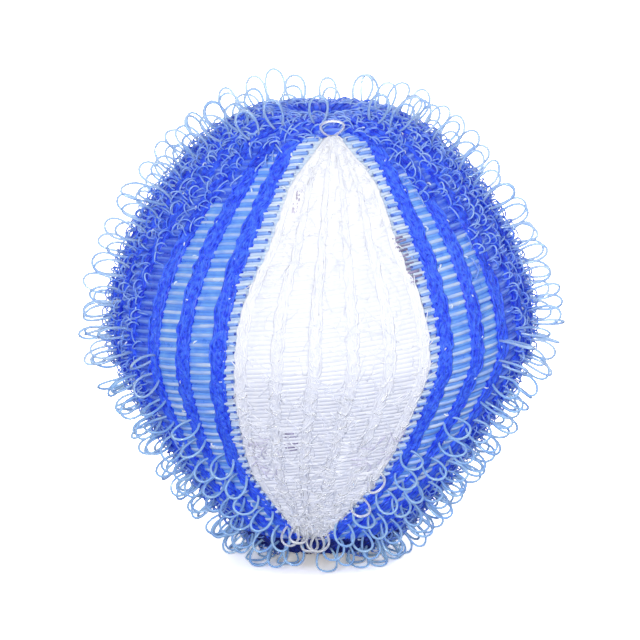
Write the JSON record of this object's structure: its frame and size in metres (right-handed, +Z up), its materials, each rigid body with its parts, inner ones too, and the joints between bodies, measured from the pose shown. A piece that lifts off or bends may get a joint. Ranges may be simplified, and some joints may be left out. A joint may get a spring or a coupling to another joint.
{
  "type": "laundry ball",
  "caption": "Hollow knitted nylon ball: chain wales from pole to pole, joined by laid-in filaments that stand out in loops, blue with a white panel; it gathers lint and hair in the wash.",
  "frame": {"origin": "middle of the ring of flattened loops that the ball stands on, at floor height", "axes": "+Z up along the ball's axis through both gathered poles, -Y through the middle of the white panel, +X to the right when looking at that panel"},
  "size_m": [0.0351, 0.0351, 0.0353],
  "materials": {
    "blue_yarn": "satin knitted nylon, deep blue",
    "blue_filament": "glossy translucent nylon monofilament, light blue",
    "white_yarn": "satin knitted nylon, white",
    "white_filament": "glossy translucent nylon monofilament, clear white"
  },
  "bodies": {
    "root": {"blue_wale_01": "blue_yarn", "blue_wale_02": "blue_yarn", "blue_wale_03": "blue_yarn", "blue_wale_04": "blue_yarn", "blue_wale_05": "blue_yarn", "blue_wale_06": "blue_yarn", "blue_wale_07": "blue_yarn", "blue_wale_08": "blue_yarn", "blue_wale_09": "blue_yarn", "blue_wale_10": "blue_yarn", "blue_wale_11": "blue_yarn", "blue_wale_12": "blue_yarn", "blue_wale_13": "blue_yarn", "blue_wale_14": "blue_yarn", "blue_wale_15": "blue_yarn", "blue_wale_16": "blue_yarn", "blue_wale_17": "blue_yarn", "blue_wale_18": "blue_yarn", "blue_wale_19": "blue_yarn", "blue_wale_20": "blue_yarn", "blue_wale_21": "blue_yarn", "blue_wale_22": "blue_yarn", "blue_wale_23": "blue_yarn", "blue_wale_24": "blue_yarn", "blue_wale_25": "blue_yarn", "blue_wale_26": "blue_yarn", "blue_wale_27": "blue_yarn", "bottom_closing_thread": "blue_yarn", "top_closing_thread": "blue_yarn", "white_wale_01": "white_yarn", "white_wale_02": "white_yarn", "white_wale_03": "white_yarn", "white_wale_04": "white_yarn", "white_wale_05": "white_yarn", "white_wale_06": "white_yarn", "blue_filament_01": "blue_filament", "blue_filament_02": "blue_filament", "blue_filament_03": "blue_filament", "blue_filament_04": "blue_filament", "blue_filament_05": "blue_filament", "blue_filament_06": "blue_filament", "blue_filament_07": "blue_filament", "blue_filament_08": "blue_filament", "blue_filament_09": "blue_filament", "blue_filament_10": "blue_filament", "blue_filament_11": "blue_filament", "blue_filament_12": "blue_filament", "blue_filament_13": "blue_filament", "border_filament_left": "blue_filament", "border_filament_right": "blue_filament", "white_filament_01": "white_filament", "white_filament_02": "white_filament", "white_filament_03": "white_filament", "white_filament_04": "white_filament", "white_filament_05": "white_filament"}
  },
  "joints": []
}
